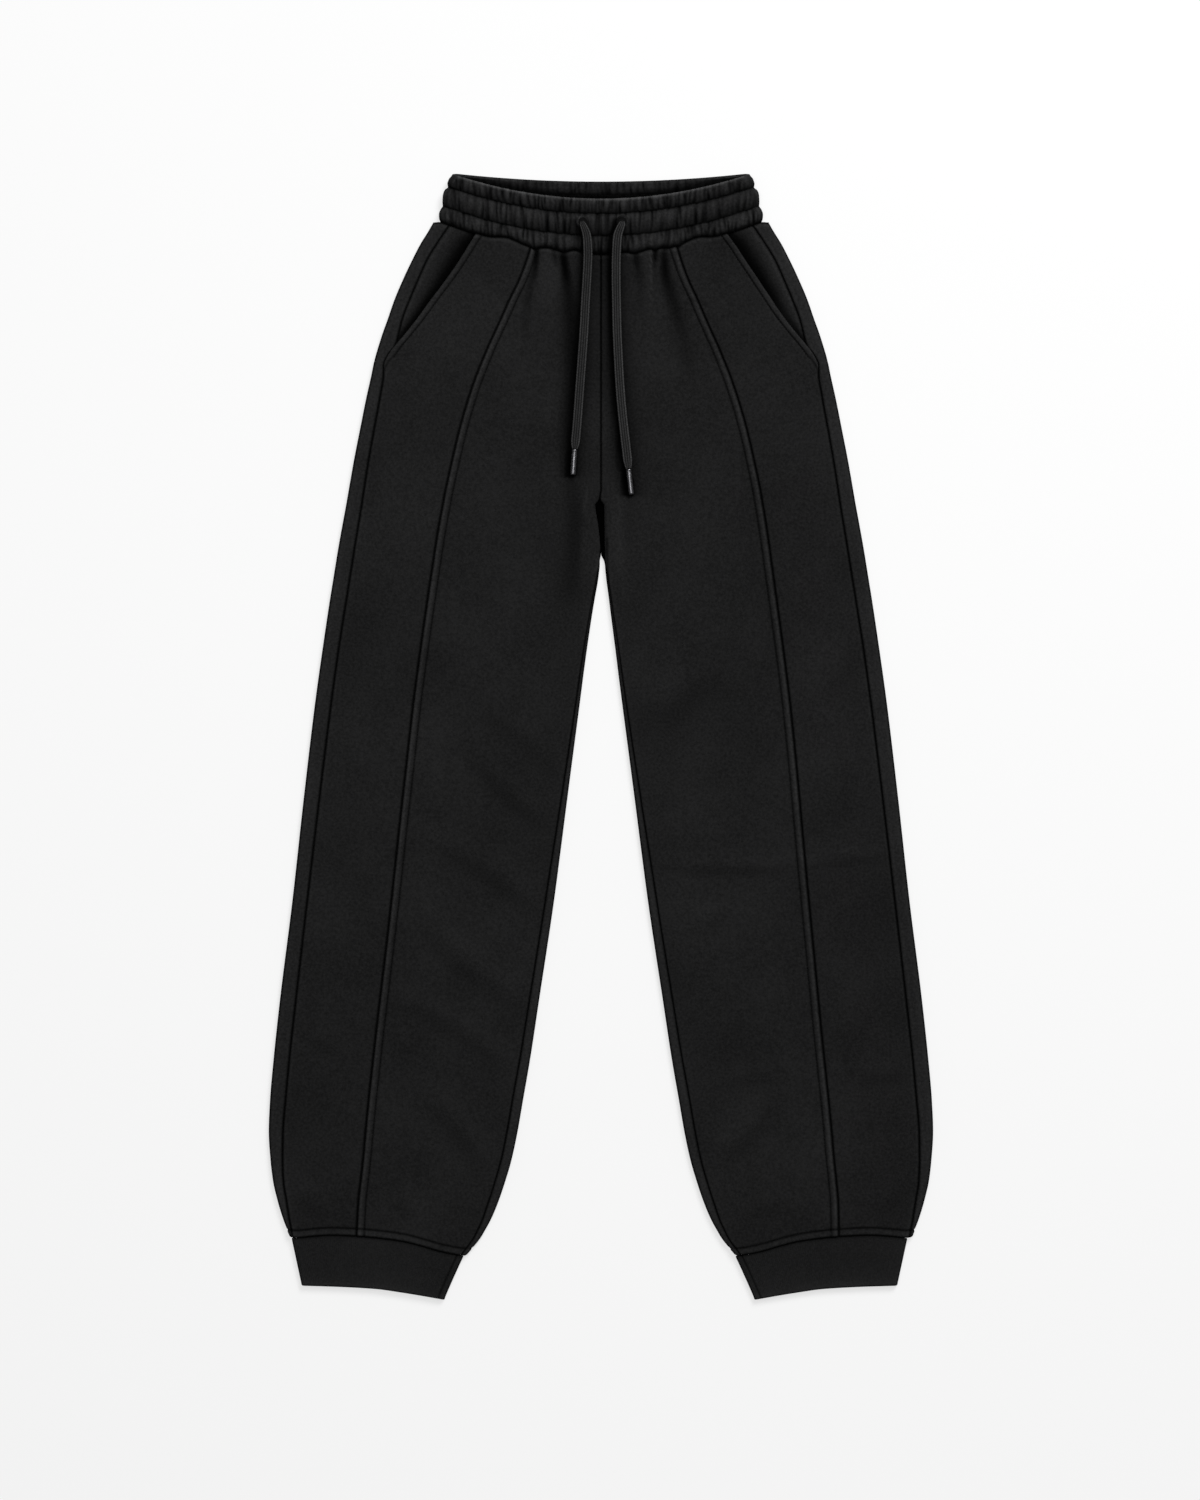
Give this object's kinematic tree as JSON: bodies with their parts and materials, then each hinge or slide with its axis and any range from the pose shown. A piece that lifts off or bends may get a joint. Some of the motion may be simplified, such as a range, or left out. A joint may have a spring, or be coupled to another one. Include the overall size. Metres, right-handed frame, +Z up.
{
  "type": "jogger sweatpants, laid flat",
  "caption": "Loose brushed-fleece jogger sweatpants with gathered drawcord waistband, slant pockets, front panel seams and rib cuffs, laid flat.",
  "frame": {"origin": "on the surface that the trousers lie on, under the middle of their outline", "axes": "+Z up out of the front of the trousers, +Y from the cuffs to the waist, +X to the wearer's left"},
  "size_m": [0.6266, 1.0613, 0.0177],
  "materials": {
    "fleece": "black brushed cotton-blend fleece, matt with a soft nap",
    "rib_knit": "black fine rib knit, matt",
    "cord_braid": "charcoal flat braided cord",
    "eyelet_thread": "black buttonhole thread",
    "tip_metal": "gunmetal cord tip, polished"
  },
  "bodies": {
    "root": {"waistband": "fleece", "front_centre_left": "fleece", "front_centre_right": "fleece", "front_side_left": "fleece", "front_side_right": "fleece", "pocket_facing_left": "fleece", "pocket_facing_right": "fleece", "back_left": "fleece", "back_right": "fleece", "cuff_left": "rib_knit", "cuff_right": "rib_knit", "eyelet_left": "eyelet_thread", "eyelet_right": "eyelet_thread", "drawcord_left": "cord_braid", "drawcord_right": "cord_braid", "cord_tip_left": "tip_metal", "cord_tip_right": "tip_metal"}
  },
  "joints": []
}
